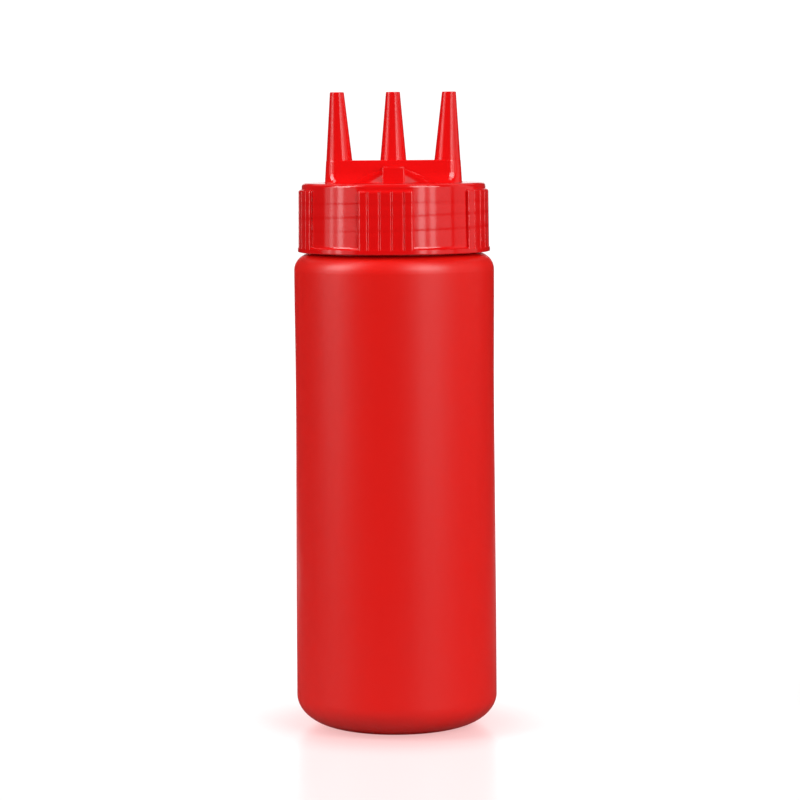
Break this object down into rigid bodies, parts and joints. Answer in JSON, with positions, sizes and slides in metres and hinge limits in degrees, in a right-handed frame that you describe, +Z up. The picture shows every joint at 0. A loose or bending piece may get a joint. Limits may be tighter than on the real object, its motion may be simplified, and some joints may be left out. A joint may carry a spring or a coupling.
{
  "type": "multi-tip squeeze bottle",
  "caption": "Round plastic squeeze bottle with a screwed-on cap that carries a row of tapered nozzles joined by a low web, for dispensing sauce in parallel lines.",
  "frame": {"origin": "centre of the ring the bottle stands on", "axes": "+Z up along the bottle's axis, X along the row of nozzles, -Y the front"},
  "size_m": [0.0508, 0.0508, 0.16],
  "materials": {
    "bottle_plastic": "opaque red blown polyethylene with a satin skin",
    "cap_plastic": "opaque red moulded plastic, smooth and fairly glossy"
  },
  "bodies": {
    "root": {"bottle": "bottle_plastic", "nozzle_cap": "cap_plastic"}
  },
  "joints": []
}
